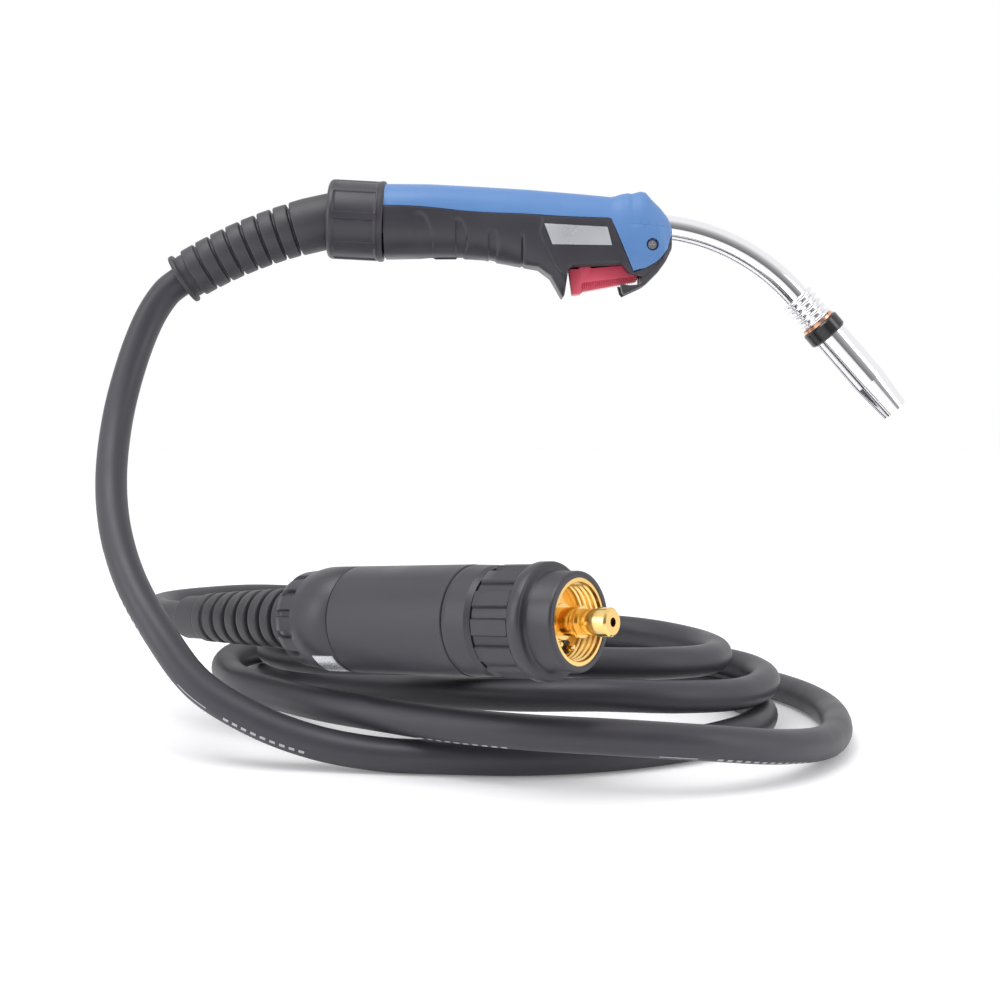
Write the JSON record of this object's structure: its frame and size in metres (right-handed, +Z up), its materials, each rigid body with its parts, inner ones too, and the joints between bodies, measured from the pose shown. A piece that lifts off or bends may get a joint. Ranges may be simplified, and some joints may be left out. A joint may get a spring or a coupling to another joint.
{
  "type": "mig welding torch",
  "caption": "Gas-cooled MIG welding torch: pistol-free straight grip with trigger, bent metal neck and nozzle, free cable in a coil, and a round machine connector.",
  "frame": {"origin": "middle of the hand grip, on the torch's mid-plane", "axes": "+X forward along the handle to the nozzle, +Z up; the surface that the coil lies on is 0.35 m below the origin"},
  "size_m": [0.5636, 0.4765, 0.3813],
  "materials": {
    "blue_plastic": "fine satin grain",
    "black_plastic": "satin",
    "insulating_plastic": "glossy",
    "rubber": "matt",
    "cable_rubber": "satin rubber",
    "silver_film": "brushed film",
    "steel": "plain",
    "chrome": "polished",
    "ceramic": "matt",
    "copper": "machined",
    "brass": "machined",
    "red_plastic": "satin"
  },
  "bodies": {
    "torch": {"handle_top_shell": "blue_plastic", "handle_lower_shell": "black_plastic", "label_plates": "silver_film", "handle_screw": "chrome", "handle_screw_nut": "steel", "neck_tube": "chrome", "neck_insulation": "ceramic", "neck_conductor": "copper", "wire_liner": "steel", "neck_socket": "brass", "cable_nipple": "brass", "nozzle_spring": "chrome", "spring_seat": "copper", "tip_holder": "brass", "gas_diffuser": "ceramic", "contact_tip": "copper", "trigger_pin": "steel", "switch_body": "black_plastic", "switch_wires": "cable_rubber", "boot_sleeve": "rubber", "handle_kink_guard": "rubber", "cable_in_handle": "cable_rubber", "cable": "cable_rubber", "cable_in_connector": "cable_rubber", "connector_kink_guard": "rubber", "rear_cap": "black_plastic", "cap_label": "silver_film", "housing_near_half": "black_plastic", "housing_far_half": "black_plastic", "housing_screws": "steel", "front_ring": "black_plastic", "connector_core": "brass", "plug_body": "brass", "central_pin": "brass", "liner_nut": "brass", "pin_insulators": "insulating_plastic"},
    "trigger_body": {"trigger": "red_plastic"},
    "button_body": {"switch_button": "red_plastic"},
    "nozzle_body": {"nozzle_band": "insulating_plastic", "gas_nozzle": "chrome"},
    "clamp_nut_body": {"clamp_nut": "black_plastic"},
    "lock_nut_body": {"lock_nut": "black_plastic", "lock_nut_insert": "brass"},
    "left_control_pin": {"control_pin_left": "brass"},
    "right_control_pin": {"control_pin_right": "brass"}
  },
  "joints": [
    {"name": "trigger_pull", "type": "hinge", "parent": "torch", "child": "trigger_body", "pos_m": [0.107, 0, -0.035], "axis": [0, 1, 0], "range_deg": [0, 4.5], "stiffness_Nm_per_rad": 2, "springref_deg": -5.73},
    {"name": "switch_press", "type": "slide", "parent": "torch", "child": "button_body", "axis": [0, 0, 1], "range_m": [0, 0.0028]},
    {"name": "nozzle_pull_off", "type": "slide", "parent": "torch", "child": "nozzle_body", "axis": [0.6613, 0, -0.7501], "range_m": [0, 0.085]},
    {"name": "clamp_nut_turn", "type": "hinge", "parent": "torch", "child": "clamp_nut_body", "pos_m": [-0.0866, 0, 0.0029], "axis": [0.9986, 0, -0.0523], "continuous": true},
    {"name": "lock_nut_turn", "type": "hinge", "parent": "torch", "child": "lock_nut_body", "pos_m": [0.05903, -0.24448, -0.24669], "axis": [0.7897, -0.6082, 0.0802], "continuous": true},
    {"name": "left_control_pin_press", "type": "slide", "parent": "torch", "child": "left_control_pin", "axis": [-0.7897, 0.6082, -0.0802], "range_m": [0, 0.004], "stiffness_N_per_m": 300, "springref_m": -0.002},
    {"name": "right_control_pin_press", "type": "slide", "parent": "torch", "child": "right_control_pin", "axis": [-0.7897, 0.6082, -0.0802], "range_m": [0, 0.004], "stiffness_N_per_m": 300, "springref_m": -0.002}
  ],
  "couplings": [
    {"joint": "switch_press", "follows": "trigger_pull", "m_per_rad": 0.033}
  ]
}
